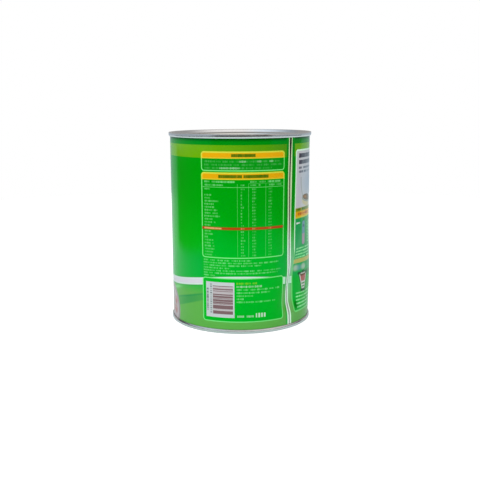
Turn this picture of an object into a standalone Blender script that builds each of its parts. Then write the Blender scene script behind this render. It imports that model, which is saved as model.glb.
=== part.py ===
"""Round drink tin with a press-in lever lid: a printed tinplate wall, a seamed ring and base, and the lid.

Metres, +Z up. The origin is the centre of the circle that the tin stands on, and the side with the
printed tables faces -Y. The tin is shut, so its wall and contents are one solid. Every piece is a turned
outline, and the wall is then dented beside its side weld, as the tin has been knocked there.
"""

import math

import bmesh
import bpy

# The tin over all
HEIGHT = 0.134
WALL_RADIUS = 0.0496
SEAM_RADIUS = 0.0506
GAP = 0.0003

# Double seam, the same at both ends. Depths are measured inwards from the end's own rim.
SEAM_DEPTH = 0.00305
SEAM_FACE_DEPTH = 0.0018
SEAM_FOOT_RADIUS = 0.05015
SEAM_INNER_RADIUS = 0.049
GROOVE_DEPTH = 0.00245
LIP_THICKNESS = 0.00025
SEAM_ROUNDING = 0.0005

# Recess inside each seam
CHUCK_WALL_OUTER = WALL_RADIUS - LIP_THICKNESS - GAP
CHUCK_WALL_FOOT = 0.0486
PANEL_DEPTH = 0.0039
PANEL_ROUNDING = 0.0006
PLATE = 0.0006

# Lever lid, a plug with a curled edge that lies on the ring
PLUG_RADIUS = 0.0389
DISH_RADIUS = 0.0373
DISH_DEPTH = 0.0064
DISH_RIM_RADIUS = 0.0383
CURL_RADIUS = 0.0424
CURL_TOP_DEPTH = 0.0017
CURL_ROUNDING = 0.0009
LID_FIELD_RADIUS = 0.031
LID_FIELD_RISE = 0.0008
LID_BEAD_RADIUS = 0.0165
BEAD_WIDTH = 0.0026
BEAD_RISE = 0.0007
BEAD_SLOPE = 0.0009

# Base panel, lifted inside its outer trough and stiffened by round beads
BASE_TROUGH_WIDTH = 0.0024
BASE_FIELD_DEPTH = 0.0032
BASE_BEAD_RADII = (0.024, 0.036)

# Dent beside the side weld. Arcs are measured round the wall from -Y towards +X.
DENT_ARC = 0.0375
DENT_HALF_WIDTH = 0.006
DENT_DEPTH = 0.0027
DENT_FOOT = 0.005
DENT_FULL_FROM = 0.020
DENT_FULL_TO = 0.024
DENT_TOP = 0.056

# The wide flattening above the dent, and the bulge that the knock has pushed out next to it
FLAT_ARC, FLAT_HEIGHT = 0.044, 0.060
FLAT_HALF_WIDTH, FLAT_HALF_HEIGHT = 0.012, 0.028
FLAT_DEPTH = 0.001
BULGE_ARC, BULGE_HEIGHT = 0.070, 0.036
BULGE_HALF_WIDTH, BULGE_HALF_HEIGHT = 0.011, 0.017
BULGE_RISE = 0.00095

# Fineness of the facets
WALL_SEGMENTS = 72
END_SEGMENTS = 60
ARC_STEPS = 3
FINE_ROW = 0.0045
COARSE_ROW = 0.012
FINE_ROWS_END = 0.064
MERGE_DISTANCE = 1e-6
SHARP_ANGLE = math.radians(35)

# Looks: linear colour, metallic value and roughness
PRINTED_GREEN = ((0.004, 0.34, 0.012), 0.0, 0.22)
TINPLATE = ((0.62, 0.63, 0.63), 1.0, 0.28)


def clear_scene():
    for item in list(bpy.data.objects):
        bpy.data.objects.remove(item)


def make_material(name, look):
    colour, metallic, roughness = look
    material = bpy.data.materials.new(name)
    material.use_nodes = True
    shader = material.node_tree.nodes["Principled BSDF"]
    shader.inputs["Base Color"].default_value = (*colour, 1.0)
    shader.inputs["Metallic"].default_value = metallic
    shader.inputs["Roughness"].default_value = roughness
    material.diffuse_color = (*colour, 1.0)
    return material


def rounded(corners, steps):
    """The open path through (radius, depth, rounding) corners, each rounded corner turned into an arc."""
    path = []
    for index, (radius, depth, rounding) in enumerate(corners):
        if rounding == 0:
            path.append((radius, depth))
            continue
        before, after = corners[index - 1], corners[index + 1]
        angle_in = math.atan2(before[1] - depth, before[0] - radius)
        angle_out = math.atan2(after[1] - depth, after[0] - radius)
        opening = (angle_out - angle_in) % math.tau
        side = 1 if opening < math.pi else -1
        half = (opening if side > 0 else math.tau - opening) / 2
        middle = angle_in + side * half
        reach = rounding / math.sin(half)
        centre = (radius + reach * math.cos(middle), depth + reach * math.sin(middle))
        sweep = math.pi - 2 * half
        for step in range(steps + 1):
            angle = middle + math.pi + side * sweep * (0.5 - step / steps)
            path.append((centre[0] + rounding * math.cos(angle), centre[1] + rounding * math.sin(angle)))
    return path


def turned(name, outline, segments, direction, material):
    """A solid of revolution from (radius, depth) points. direction is +1 where depth runs up and -1 down.

    An outline that starts on the axis also ends there, and any other one is closed into a ring.
    """
    mesh_data = bmesh.new()
    points = [mesh_data.verts.new((radius, 0.0, direction * depth)) for radius, depth in outline]
    edges = [mesh_data.edges.new(pair) for pair in zip(points, points[1:])]
    if outline[0][0] > 0:
        edges.append(mesh_data.edges.new((points[-1], points[0])))
    bmesh.ops.spin(
        mesh_data,
        geom=points + edges,
        cent=(0, 0, 0),
        axis=(0, 0, 1),
        angle=math.tau,
        steps=segments,
        use_merge=True,
    )
    bmesh.ops.remove_doubles(mesh_data, verts=mesh_data.verts, dist=MERGE_DISTANCE)
    bmesh.ops.triangulate(mesh_data, faces=mesh_data.faces)
    bmesh.ops.recalc_face_normals(mesh_data, faces=mesh_data.faces)
    mesh = bpy.data.meshes.new(name)
    mesh_data.to_mesh(mesh)
    mesh_data.free()
    mesh.shade_smooth()
    mesh.set_sharp_from_angle(angle=SHARP_ANGLE)
    mesh.materials.append(material)
    piece = bpy.data.objects.new(name, mesh)
    bpy.context.scene.collection.objects.link(piece)
    return piece


def seam_corners():
    """The seam's section, from the groove that takes the wall's lip, round the outside, to the recess."""
    return [
        (WALL_RADIUS + GAP, GROOVE_DEPTH, 0),
        (WALL_RADIUS + GAP, SEAM_DEPTH, 0),
        (SEAM_FOOT_RADIUS, SEAM_DEPTH, 0),
        (SEAM_RADIUS, SEAM_FACE_DEPTH, SEAM_ROUNDING),
        (SEAM_RADIUS, 0, SEAM_ROUNDING),
        (SEAM_INNER_RADIUS, 0, SEAM_ROUNDING),
        (CHUCK_WALL_FOOT, PANEL_DEPTH, PANEL_ROUNDING),
    ]


def bead(radius, depth):
    """One round bead that stands out of a panel at this depth, as path points from its outer foot inwards."""
    outer, inner = radius + BEAD_WIDTH / 2, radius - BEAD_WIDTH / 2
    return [
        (outer, depth),
        (outer - BEAD_SLOPE, depth - BEAD_RISE),
        (inner + BEAD_SLOPE, depth - BEAD_RISE),
        (inner, depth),
    ]


def top_ring_outline():
    """The seamed ring: double seam, recess wall and the flat rim that the lid lies on."""
    bore = PLUG_RADIUS + GAP
    corners = [(CHUCK_WALL_OUTER, GROOVE_DEPTH, 0)] + seam_corners() + [(bore, PANEL_DEPTH, 0)]
    under = PANEL_DEPTH + PLATE
    return rounded(corners, ARC_STEPS) + [(bore, under), (CHUCK_WALL_OUTER, under)]


def base_outline():
    """The base: double seam, recess wall, trough and the beaded field, with a flat hidden side."""
    trough_end = CHUCK_WALL_FOOT - BASE_TROUGH_WIDTH
    field_edge = trough_end - BEAD_SLOPE
    hidden = PANEL_DEPTH + PLATE
    corners = seam_corners() + [(trough_end, PANEL_DEPTH, 0)]
    path = [(0, hidden), (CHUCK_WALL_OUTER, hidden), (CHUCK_WALL_OUTER, GROOVE_DEPTH)]
    path += rounded(corners, ARC_STEPS) + [(field_edge, BASE_FIELD_DEPTH)]
    for radius in reversed(BASE_BEAD_RADII):
        path += bead(radius, BASE_FIELD_DEPTH)
    return path + [(0, BASE_FIELD_DEPTH)]


def lid_outline():
    """The lid: curled edge, plug wall, dish with a raised field and one bead."""
    curl_foot = PANEL_DEPTH - GAP
    field = DISH_DEPTH - LID_FIELD_RISE
    corners = [
        (PLUG_RADIUS, curl_foot, 0),
        (CURL_RADIUS, curl_foot, CURL_ROUNDING),
        (CURL_RADIUS, CURL_TOP_DEPTH, CURL_ROUNDING),
        (DISH_RIM_RADIUS, CURL_TOP_DEPTH, CURL_ROUNDING),
        (DISH_RADIUS, DISH_DEPTH, PANEL_ROUNDING),
        (LID_FIELD_RADIUS + BEAD_SLOPE, DISH_DEPTH, 0),
    ]
    path = [(0, DISH_DEPTH + PLATE), (PLUG_RADIUS, DISH_DEPTH + PLATE)]
    path += rounded(corners, ARC_STEPS) + [(LID_FIELD_RADIUS, field)]
    return path + bead(LID_BEAD_RADIUS, field) + [(0, field)]


def wall_heights():
    """Heights of the wall's rows of points, close together where the dent is."""
    foot = GROOVE_DEPTH + GAP
    fine_span = FINE_ROWS_END - foot
    coarse_span = HEIGHT - foot - FINE_ROWS_END
    fine_count = round(fine_span / FINE_ROW)
    coarse_count = round(coarse_span / COARSE_ROW)
    fine = [foot + fine_span * row / fine_count for row in range(fine_count)]
    return fine + [FINE_ROWS_END + coarse_span * row / coarse_count for row in range(coarse_count + 1)]


def body_outline():
    """The wall with its contents as one solid: a lip into each seam, and a pocket under the lid's plug."""
    heights = wall_heights()
    lip = WALL_RADIUS - LIP_THICKNESS
    floor = PANEL_DEPTH + PLATE + GAP
    shoulder = HEIGHT - floor
    pocket_radius = PLUG_RADIUS + GAP
    pocket = HEIGHT - (DISH_DEPTH + PLATE + GAP)
    under = [(0, floor), (lip, floor), (lip, heights[0])]
    over = [(lip, heights[-1]), (lip, shoulder), (pocket_radius, shoulder)]
    floor_of_pocket = [(pocket_radius, pocket), (0, pocket)]
    return under + [(WALL_RADIUS, height) for height in heights] + over + floor_of_pocket


def smooth_step(low, high, value):
    share = min(1.0, max(0.0, (value - low) / (high - low)))
    return share * share * (3 - 2 * share)


def hump(arc, height, centre_arc, centre_height, half_width, half_height):
    across = (arc - centre_arc) / half_width
    along = (height - centre_height) / half_height
    return math.exp(-(across * across + along * along) / 2)


def dent_inwards(arc, height):
    """How far the knock has moved the wall towards the axis at this place."""
    across = math.exp(-(((arc - DENT_ARC) / DENT_HALF_WIDTH) ** 2) / 2)
    rise = smooth_step(DENT_FOOT, DENT_FULL_FROM, height)
    fall = 1 - smooth_step(DENT_FULL_TO, DENT_TOP, height)
    flat = hump(arc, height, FLAT_ARC, FLAT_HEIGHT, FLAT_HALF_WIDTH, FLAT_HALF_HEIGHT)
    bulge = hump(arc, height, BULGE_ARC, BULGE_HEIGHT, BULGE_HALF_WIDTH, BULGE_HALF_HEIGHT)
    return DENT_DEPTH * across * rise * fall + FLAT_DEPTH * flat - BULGE_RISE * bulge


def held_by_seams(height):
    """Nothing moves where the seams grip the wall, and all of it does a little way from them."""
    reach = 2 * SEAM_DEPTH
    low = smooth_step(SEAM_DEPTH, SEAM_DEPTH + reach, height)
    return low * (1 - smooth_step(HEIGHT - SEAM_DEPTH - reach, HEIGHT - SEAM_DEPTH, height))


def dent_wall(piece):
    for vertex in piece.data.vertices:
        x, y, height = vertex.co
        radius = math.hypot(x, y)
        if radius < WALL_RADIUS - LIP_THICKNESS / 2:
            continue
        arc = WALL_RADIUS * math.atan2(x, -y)
        scale = 1 - dent_inwards(arc, height) * held_by_seams(height) / radius
        vertex.co = (x * scale, y * scale, height)


def build():
    clear_scene()
    green = make_material("printed_wall", PRINTED_GREEN)
    metal = make_material("tinplate", TINPLATE)
    tin = bpy.data.objects.new("tin", None)
    bpy.context.scene.collection.objects.link(tin)

    body = turned("can_body", body_outline(), WALL_SEGMENTS, 1, green)
    dent_wall(body)
    base = turned("bottom_end", base_outline(), END_SEGMENTS, 1, metal)
    ring = turned("top_ring", top_ring_outline(), END_SEGMENTS, -1, metal)
    lid = turned("lever_lid", lid_outline(), END_SEGMENTS, -1, metal)
    for piece in (ring, lid):
        piece.location.z = HEIGHT
    for piece in (body, base, ring, lid):
        piece.parent = tin


build()
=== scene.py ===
"""Looks of a round malt drink tin: printed wall, double seams, lever lid and base, on a pale floor.

Metres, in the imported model's frame: +Z up, the printed tables towards -Y. The print is laid out in
millimetres on the unrolled wall: s runs round it from -Y towards +X, and z is the height over the floor.
"""

import math
from functools import partialmethod

import bpy
from mathutils import Matrix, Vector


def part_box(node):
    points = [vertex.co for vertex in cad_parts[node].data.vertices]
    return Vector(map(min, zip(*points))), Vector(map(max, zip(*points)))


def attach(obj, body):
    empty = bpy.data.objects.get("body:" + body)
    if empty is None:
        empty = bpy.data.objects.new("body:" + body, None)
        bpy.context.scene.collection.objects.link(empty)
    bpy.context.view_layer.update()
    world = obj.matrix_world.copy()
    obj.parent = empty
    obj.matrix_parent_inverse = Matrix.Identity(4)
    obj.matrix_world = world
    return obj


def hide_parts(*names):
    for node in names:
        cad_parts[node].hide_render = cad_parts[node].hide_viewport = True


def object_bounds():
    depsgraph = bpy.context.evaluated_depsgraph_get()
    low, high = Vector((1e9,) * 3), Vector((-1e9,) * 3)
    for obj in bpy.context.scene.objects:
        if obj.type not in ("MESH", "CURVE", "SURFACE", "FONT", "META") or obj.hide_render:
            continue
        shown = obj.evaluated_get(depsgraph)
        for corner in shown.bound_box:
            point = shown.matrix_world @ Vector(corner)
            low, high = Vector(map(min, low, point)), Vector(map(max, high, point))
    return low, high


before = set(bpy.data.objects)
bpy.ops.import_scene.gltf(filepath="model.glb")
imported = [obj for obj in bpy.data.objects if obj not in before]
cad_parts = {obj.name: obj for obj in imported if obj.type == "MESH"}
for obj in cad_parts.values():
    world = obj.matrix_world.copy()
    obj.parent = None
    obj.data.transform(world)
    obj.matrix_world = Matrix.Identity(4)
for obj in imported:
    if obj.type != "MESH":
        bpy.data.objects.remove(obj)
CAD_LOW, CAD_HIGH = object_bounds()

# The tin over all, from the frame
HEIGHT = CAD_HIGH.z
SEAM_RADIUS = CAD_HIGH.x
WALL_RADIUS = -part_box("can_body")[0].x

# Room left between neighbours, and the print's unit
GAP = 0.0003
MM = 0.001

# Double seam, the same at both ends. Depths are measured inwards from the end's own rim.
SEAM_DEPTH = 0.00275
SEAM_FACE_DEPTH = 0.0018
SEAM_FOOT_RADIUS = 0.05005
SEAM_INNER_RADIUS = 0.049
GROOVE_DEPTH = 0.00245
LIP_THICKNESS = 0.00025
SEAM_TOP_ROUNDING = 0.00035
SEAM_FACE_ROUNDING = 0.0009
SEAM_FOOT_ROUNDING = 0.0002

# Recess inside each seam
CHUCK_WALL_OUTER = WALL_RADIUS - LIP_THICKNESS - GAP
CHUCK_WALL_FOOT = 0.0486
PANEL_DEPTH = 0.0039
PANEL_ROUNDING = 0.0006
PLATE = 0.0006

# Lever lid
PLUG_RADIUS = 0.0389
DISH_RADIUS = 0.0373
DISH_DEPTH = 0.0064
DISH_RIM_RADIUS = 0.0383
CURL_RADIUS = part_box("lever_lid")[1].x
CURL_TOP_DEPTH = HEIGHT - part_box("lever_lid")[1].z
CURL_ROUNDING = 0.00085
CURL_INNER_ROUNDING = 0.0015
LID_FIELD_RADIUS = 0.031
LID_FIELD_RISE = 0.0008
LID_BEAD_RADIUS = 0.0165
BEAD_WIDTH = 0.0026
BEAD_RISE = 0.0007
BEAD_SLOPE = 0.0009
BEAD_ROUNDING = 0.0005

# Base panel
BASE_TROUGH_WIDTH = 0.0024
BASE_FIELD_DEPTH = 0.0032
BASE_BEAD_RADII = (0.024, 0.036)

# Dent beside the side weld: place round the wall, height and size. Away from the weld it reaches higher.
DENT_ARC = 0.0400
DENT_HALF_WIDTH = 0.0065
DENT_DEPTH = 0.0029
DENT_FOOT, DENT_FULL_FROM = 0.008, 0.020
DENT_FULL_TO, DENT_TOP = 0.024, 0.046
DENT_LEAN = 1.4
FLAT_PLACE, FLAT_REACH, FLAT_DEPTH = (0.044, 0.060), (0.012, 0.028), 0.001
BULGE_PLACE, BULGE_REACH, BULGE_RISE = (0.070, 0.036), (0.011, 0.017), 0.00095
HELD_REACH = 2 * SEAM_DEPTH

# The thin plate's faint unevenness, which only its reflections show
SWAY_DEPTH = 0.00012
SWAY_SCALE = 22.0

# Side weld: its line round the wall, and the bead, which wanders off that line near its top
WELD_ARC = 0.0373
WELD_HALF_WIDTH = 0.00045
WELD_BEAD_ARC = 0.03725
WANDER_DEPTH, WANDER_PLACE, WANDER_REACH = 0.00055, 0.103, 0.013
WELD_THICKNESS = 0.00003
WELD_NUGGET_PITCH = 0.0009
WELD_RIPPLE = 0.12
# Where the bead turns brown and near black: partly heat tint, partly painted shade for the dim room it
# mirrors
WELD_BROWNED_AND_SHADED_FROM_TO = (0.040, 0.078)
WELD_BURNT_AND_SHADED_FROM_TO = (0.092, 0.127)

# Fineness of the meshes
WALL_STEPS_ROUND = 288
WALL_ROW = 0.0011
END_STEPS_ROUND = 256
ARC_STEPS = 7
WELD_STEPS = (10, 900)
WELD_END_SHARE = 0.0001
MERGE_DISTANCE = 1e-6
SHARP_ANGLE = math.radians(40)


# Node trees

class Signal:
    """One output of a node tree. A sum on it adds Math nodes to its tree."""

    def __init__(self, tree, socket):
        self.tree = tree
        self.socket = socket

    def math(self, operation, *others):
        values = dict(enumerate((self, *others)))
        return output(self.tree, "ShaderNodeMath", {"operation": operation}, values)

    def reflected(self, operation, first):
        return output(self.tree, "ShaderNodeMath", {"operation": operation}, {0: first, 1: self})

    __add__ = partialmethod(math, "ADD")
    __radd__ = partialmethod(reflected, "ADD")
    __sub__ = partialmethod(math, "SUBTRACT")
    __rsub__ = partialmethod(reflected, "SUBTRACT")
    __mul__ = partialmethod(math, "MULTIPLY")
    __rmul__ = partialmethod(reflected, "MULTIPLY")
    __truediv__ = partialmethod(math, "DIVIDE")
    __neg__ = partialmethod(math, "MULTIPLY", -1.0)
    __abs__ = partialmethod(math, "ABSOLUTE")
    __lt__ = partialmethod(math, "LESS_THAN")
    __gt__ = partialmethod(math, "GREATER_THAN")
    floor = partialmethod(math, "FLOOR")
    sine = partialmethod(math, "SINE")
    cosine = partialmethod(math, "COSINE")
    least = partialmethod(math, "MINIMUM")
    most = partialmethod(math, "MAXIMUM")


def add_node(tree, kind, settings=None, values=None):
    """A node of this kind, with its settings made first and then its sockets given values or links."""
    node = tree.nodes.new(kind)
    for name, setting in (settings or {}).items():
        if name == "steps":
            set_steps(node.color_ramp, setting)
        else:
            setattr(node, name, setting)
    for key, value in (values or {}).items():
        socket = node.inputs[key]
        if isinstance(value, Signal):
            tree.links.new(value.socket, socket)
        else:
            socket.default_value = value
    return node


def set_steps(ramp, values):
    """Makes the ramp hold these values, each over an equal part of its length."""
    ramp.interpolation = "CONSTANT"
    while len(ramp.elements) < len(values):
        ramp.elements.new(1.0)
    for index, value in enumerate(values):
        ramp.elements[index].position = index / len(values)
        ramp.elements[index].color = (value, value, value, 1.0)


def output(tree, kind, settings=None, values=None, socket=0):
    return Signal(tree, add_node(tree, kind, settings, values).outputs[socket])


def smooth_step(signal, low, high):
    settings = {"interpolation_type": "SMOOTHSTEP", "clamp": False}
    return output(signal.tree, "ShaderNodeMapRange", settings, {0: signal, 1: low, 2: high})


def hump(across, along):
    """1 in the middle, falling off like a bell curve in both directions."""
    return ((across * across + along * along) * -0.5).math("EXPONENT")


def ridge(across):
    """1 along the middle line, falling off like a bell curve to both sides."""
    return (across * across * -0.5).math("EXPONENT")


def noise_of(tree, vector, scale, detail, roughness=0.5):
    values = {"Vector": vector, "Scale": scale, "Detail": detail, "Roughness": roughness}
    return output(tree, "ShaderNodeTexNoise", None, values)


def combine(tree, x, y, z):
    return output(tree, "ShaderNodeCombineXYZ", None, {0: x, 1: y, 2: z})


def separate(signal):
    node = add_node(signal.tree, "ShaderNodeSeparateXYZ", None, {0: signal})
    return [Signal(signal.tree, socket) for socket in node.outputs]


def new_group(name, kind, inputs, result):
    """A node group with these (name, kind) inputs and this output, as (group, inputs by name)."""
    group = bpy.data.node_groups.new(name, kind)
    for side, sockets in (("INPUT", inputs), ("OUTPUT", [result])):
        for label, socket_kind in sockets:
            group.interface.new_socket(label, in_out=side, socket_type="NodeSocket" + socket_kind)
    entry = group.nodes.new("NodeGroupInput")
    return group, {socket.name: Signal(group, socket) for socket in entry.outputs if socket.name}


def give(signal):
    """Makes the signal the output of its group."""
    leave = signal.tree.nodes.new("NodeGroupOutput")
    signal.tree.links.new(signal.socket, leave.inputs[0])


# Turned forms, made by Geometry Nodes

def new_form_tree(name, inputs):
    """A Geometry Nodes tree with one geometry in and out and named inputs, as (tree, inputs by name)."""
    form = ("Form", "Geometry")
    return new_group(name, "GeometryNodeTree", [form, *inputs], form)


def end_form_tree(tree, form, finish):
    smooth = output(tree, "GeometryNodeSetShadeSmooth", None, {"Geometry": form})
    real = output(tree, "GeometryNodeRealizeInstances", None, {"Geometry": smooth})
    give(output(tree, "GeometryNodeSetMaterial", None, {"Geometry": real, "Material": finish}))


def unit_grid(tree, columns, rows):
    """A flat grid, one unit wide and one deep, with its middle at the origin."""
    sizes = {"Size X": 1.0, "Size Y": 1.0, "Vertices X": columns, "Vertices Y": rows}
    return output(tree, "GeometryNodeMeshGrid", None, sizes)


def placed(tree, form, place):
    return output(tree, "GeometryNodeSetPosition", None, {"Geometry": form, "Position": place})


def closed(tree, form):
    values = {"Geometry": form, "Distance": MERGE_DISTANCE}
    return output(tree, "GeometryNodeMergeByDistance", None, values)


def round_axis(tree, radius, turn, height):
    """The place at this radius and height, at this turn from -Y towards +X."""
    return combine(tree, radius * turn.sine(), radius * turn.cosine() * -1.0, height)


def turned_tree():
    """Turns a row of outline points, radius in x and height in z, once round the axis.

    The face corners get the map "Print": the way round the wall and the height, both in metres.
    """
    inputs = [("Steps round", "Int"), ("Outline points", "Int")]
    inputs += [("Print radius", "Float"), ("Finish", "Material")]
    tree, named = new_form_tree("turned_form", inputs)
    grid = unit_grid(tree, named["Steps round"] + 1, named["Outline points"])
    place = output(tree, "GeometryNodeInputPosition")
    across, along, _ = separate(place)
    turn = across * math.tau
    row = ((along + 0.5) * (named["Outline points"] - 1)).math("ROUND")
    settings = {"data_type": "FLOAT_VECTOR", "domain": "POINT"}
    values = {"Geometry": named["Form"], "Value": place, "Index": row}
    radius, _, height = separate(output(tree, "GeometryNodeSampleIndex", settings, values))
    mapped = combine(tree, turn * named["Print radius"], height, 0.0)
    settings = {"data_type": "FLOAT2", "domain": "CORNER"}
    values = {"Geometry": grid, "Name": "Print", "Value": mapped}
    marked = output(tree, "GeometryNodeStoreNamedAttribute", settings, values)
    shaped = placed(tree, marked, round_axis(tree, radius, turn, height))
    end_form_tree(tree, closed(tree, shaped), named["Finish"])
    return tree


def dent_inwards(arc, height, depth):
    """How far the knock has moved the wall towards the axis, at a place round it and a height."""
    across = ridge((arc - DENT_ARC) / DENT_HALF_WIDTH)
    rise = smooth_step(height, DENT_FOOT, DENT_FULL_FROM)
    fall = 1 - smooth_step(height - (arc - WELD_ARC) * DENT_LEAN, DENT_FULL_TO, DENT_TOP)
    flat = hump((arc - FLAT_PLACE[0]) / FLAT_REACH[0], (height - FLAT_PLACE[1]) / FLAT_REACH[1])
    bulge = hump((arc - BULGE_PLACE[0]) / BULGE_REACH[0], (height - BULGE_PLACE[1]) / BULGE_REACH[1])
    return depth * across * rise * fall + flat * FLAT_DEPTH - bulge * BULGE_RISE


def held_by_seams(height):
    low = smooth_step(height, SEAM_DEPTH, SEAM_DEPTH + HELD_REACH)
    return low * (1 - smooth_step(height, HEIGHT - SEAM_DEPTH - HELD_REACH, HEIGHT - SEAM_DEPTH))


def wall_offset(tree, arc, height, depth, sway):
    """How far inwards the wall lies at this place, with the dent and the plate's faint sway."""
    turn = arc / WALL_RADIUS
    place = combine(tree, turn.sine(), turn.cosine(), height / WALL_RADIUS)
    noise = noise_of(tree, place, SWAY_SCALE * WALL_RADIUS, 1.0)
    return (dent_inwards(arc, height, depth) + (noise - 0.5) * 2 * sway) * held_by_seams(height)


def dented_tree():
    """Moves the outer wall in and out: the dent beside the weld and the thin plate's sway."""
    inputs = [("Dent depth", "Float"), ("Sway depth", "Float"), ("Finish", "Material")]
    tree, named = new_form_tree("dented_wall", inputs)
    x, y, z = separate(output(tree, "GeometryNodeInputPosition"))
    radius = (x * x + y * y).math("SQRT")
    arc = x.math("ARCTAN2", -y) * WALL_RADIUS
    outer = radius > WALL_RADIUS - LIP_THICKNESS / 2
    inwards = wall_offset(tree, arc, z, named["Dent depth"], named["Sway depth"])
    scale = 1 - inwards * outer / radius.most(MM)
    shaped = placed(tree, named["Form"], combine(tree, x * scale, y * scale, z))
    end_form_tree(tree, shaped, named["Finish"])
    return tree


def weld_bead_arc(height):
    """Where the bead runs at this height: it wanders a little to the left below its top."""
    return WELD_BEAD_ARC - ridge((height - WANDER_PLACE) / WANDER_REACH) * WANDER_DEPTH


def weld_tree():
    """A flat bead up the wall, with the even ripple of a seam weld, that follows the dent."""
    lengths = ("Dent depth", "Sway depth", "Half width", "Thickness", "Nugget pitch")
    inputs = [(length, "Float") for length in lengths] + [("Finish", "Material")]
    tree, named = new_form_tree("weld_bead", inputs)
    grid = unit_grid(tree, WELD_STEPS[0] + 1, WELD_STEPS[1] + 1)
    across, along, _ = separate(output(tree, "GeometryNodeInputPosition"))
    turn = across * math.tau
    share = along + 0.5
    low, high = GROOVE_DEPTH + GAP, HEIGHT - GROOVE_DEPTH - GAP
    height = low + share * (high - low)
    full = (share < 1 - WELD_END_SHARE) * (share > WELD_END_SHARE)
    ripple = 1 + WELD_RIPPLE * (height / named["Nugget pitch"] * math.tau).sine()
    arc = weld_bead_arc(height) + turn.cosine() * named["Half width"] * full
    lift = turn.sine() * named["Thickness"] * ripple * full
    inwards = wall_offset(tree, arc, height, named["Dent depth"], named["Sway depth"])
    radius = WALL_RADIUS + lift - inwards
    shaped = placed(tree, grid, round_axis(tree, radius, arc / WALL_RADIUS, height))
    end_form_tree(tree, closed(tree, shaped), named["Finish"])
    return tree


def add_object(name, data):
    thing = bpy.data.objects.new(name, data)
    bpy.context.scene.collection.objects.link(thing)
    return thing


def grown(name, points, steps):
    """The mesh that these (tree, inputs by name) steps grow from a row of points, as a finished object."""
    seed = bpy.data.meshes.new(name)
    seed.from_pydata(points, [], [])
    source = add_object(name + "_source", seed)
    for tree, values in steps:
        modifier = source.modifiers.new(tree.name, "NODES")
        modifier.node_group = tree
        for socket in tree.interface.items_tree:
            if socket.in_out == "INPUT" and socket.name in values:
                modifier[socket.identifier] = values[socket.name]
    evaluated = source.evaluated_get(bpy.context.evaluated_depsgraph_get())
    mesh = bpy.data.meshes.new_from_object(evaluated)
    mesh.name = name
    if mesh.materials[0] is None:
        mesh.materials.pop(index=0)
    bpy.data.objects.remove(source)
    return add_object(name, mesh)


def rounded(corners):
    """The open path through (radius, depth, rounding) corners, each rounded corner turned into an arc."""
    path = []
    for index, (radius, depth, rounding) in enumerate(corners):
        if rounding == 0:
            path.append((radius, depth))
            continue
        before, after = corners[index - 1], corners[index + 1]
        angle_in = math.atan2(before[1] - depth, before[0] - radius)
        angle_out = math.atan2(after[1] - depth, after[0] - radius)
        opening = (angle_out - angle_in) % math.tau
        side = 1 if opening < math.pi else -1
        half = (opening if side > 0 else math.tau - opening) / 2
        middle = angle_in + side * half
        reach = rounding / math.sin(half)
        centre = (radius + reach * math.cos(middle), depth + reach * math.sin(middle))
        sweep = math.pi - 2 * half
        for step in range(ARC_STEPS + 1):
            angle = middle + math.pi + side * sweep * (0.5 - step / ARC_STEPS)
            path.append((centre[0] + rounding * math.cos(angle), centre[1] + rounding * math.sin(angle)))
    return path


def seam_corners():
    """The seam's corners as (radius, depth, rounding), from its groove round to the recess's foot."""
    return [
        (WALL_RADIUS + GAP, GROOVE_DEPTH, 0),
        (WALL_RADIUS + GAP, SEAM_DEPTH, 0),
        (SEAM_FOOT_RADIUS, SEAM_DEPTH, SEAM_FOOT_ROUNDING),
        (SEAM_RADIUS, SEAM_FACE_DEPTH, SEAM_FACE_ROUNDING),
        (SEAM_RADIUS, 0, SEAM_TOP_ROUNDING),
        (SEAM_INNER_RADIUS, 0, SEAM_TOP_ROUNDING),
        (CHUCK_WALL_FOOT, PANEL_DEPTH, PANEL_ROUNDING),
    ]


def bead_corners(radius, depth):
    """A raised ring bead with this middle radius on a panel at this depth, from its outer foot inwards."""
    outer, inner = radius + BEAD_WIDTH / 2, radius - BEAD_WIDTH / 2
    return [
        (outer, depth, BEAD_ROUNDING),
        (outer - BEAD_SLOPE, depth - BEAD_RISE, BEAD_ROUNDING),
        (inner + BEAD_SLOPE, depth - BEAD_RISE, BEAD_ROUNDING),
        (inner, depth, BEAD_ROUNDING),
    ]


def ring_outline():
    bore = PLUG_RADIUS + GAP
    under = PANEL_DEPTH + PLATE
    corners = [(CHUCK_WALL_OUTER, GROOVE_DEPTH, 0)] + seam_corners() + [(bore, PANEL_DEPTH, 0)]
    loop = rounded(corners) + [(bore, under), (CHUCK_WALL_OUTER, under)]
    return loop + [loop[0]]


def base_outline():
    trough_end = CHUCK_WALL_FOOT - BASE_TROUGH_WIDTH
    hidden = PANEL_DEPTH + PLATE
    corners = [(0, hidden, 0), (CHUCK_WALL_OUTER, hidden, 0), (CHUCK_WALL_OUTER, GROOVE_DEPTH, 0)]
    corners += seam_corners()
    corners.append((trough_end, PANEL_DEPTH, BEAD_ROUNDING))
    corners.append((trough_end - BEAD_SLOPE, BASE_FIELD_DEPTH, BEAD_ROUNDING))
    for radius in reversed(BASE_BEAD_RADII):
        corners += bead_corners(radius, BASE_FIELD_DEPTH)
    return rounded(corners + [(0, BASE_FIELD_DEPTH, 0)])


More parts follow.
